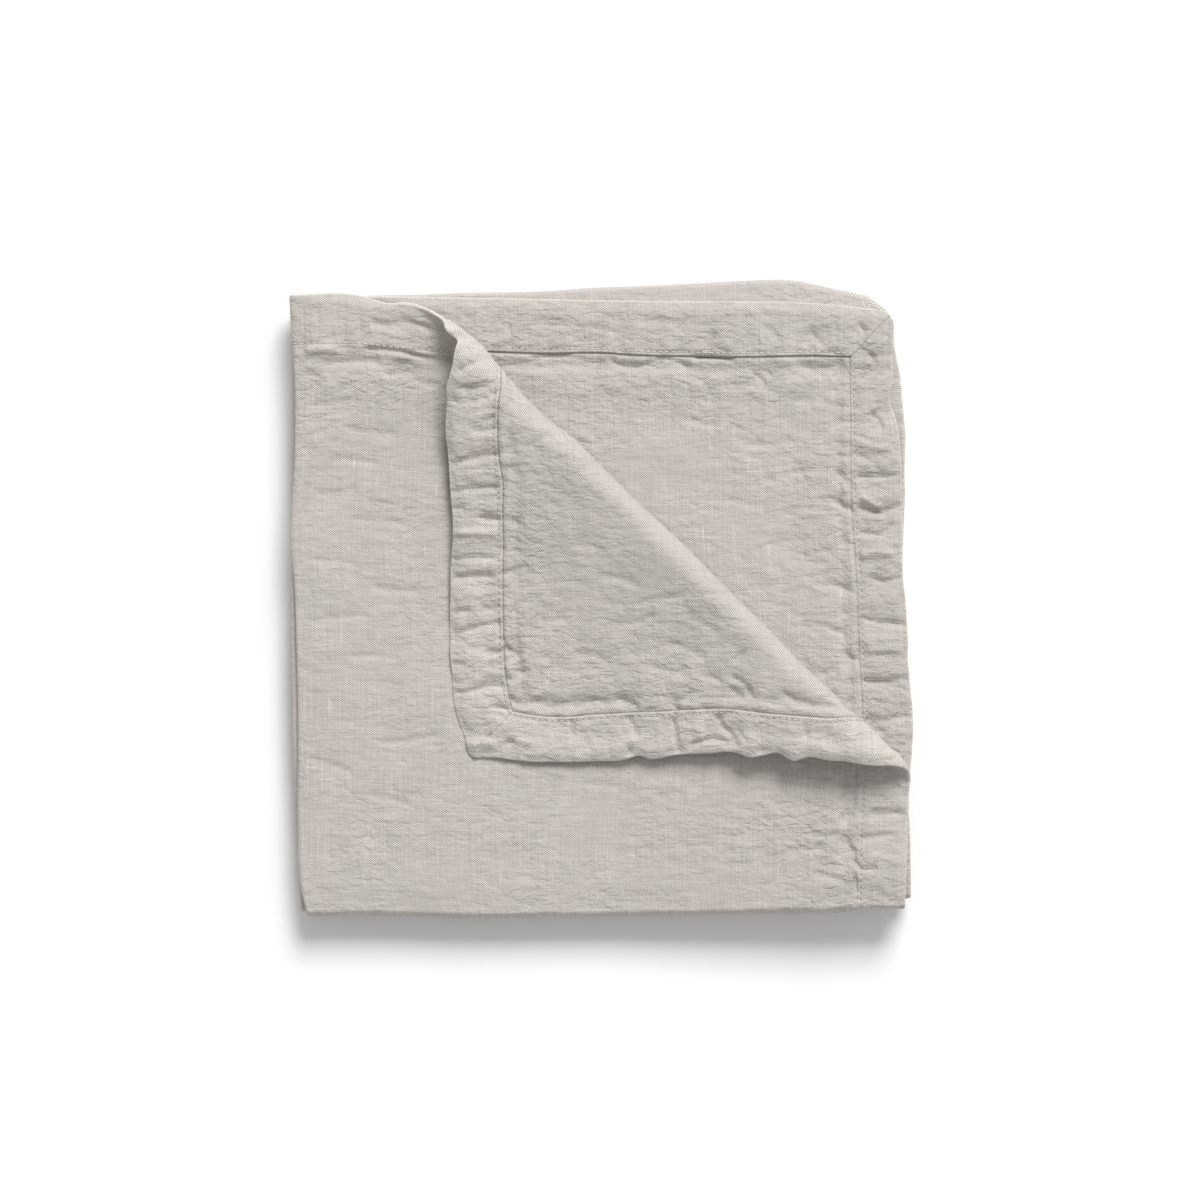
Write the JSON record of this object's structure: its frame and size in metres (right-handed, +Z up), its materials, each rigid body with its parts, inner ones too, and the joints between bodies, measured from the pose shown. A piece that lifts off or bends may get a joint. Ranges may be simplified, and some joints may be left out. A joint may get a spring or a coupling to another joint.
{
  "type": "folded table runner",
  "caption": "Hemmed linen runner folded in half lengthwise and back and forth crosswise into a square packet, with the top corner of its top layer turned back.",
  "frame": {"origin": "on the surface the packet rests on, under the middle of its bounding box", "axes": "+Z up through the layers, +X from the lengthwise fold to the long hems, +Y from the bottom folds to the end hems"},
  "size_m": [0.2526, 0.2586, 0.0364],
  "materials": {
    "linen": "plain-weave washed linen, light warm grey, matte"
  },
  "bodies": {
    "root": {"runner": "linen"}
  },
  "joints": []
}
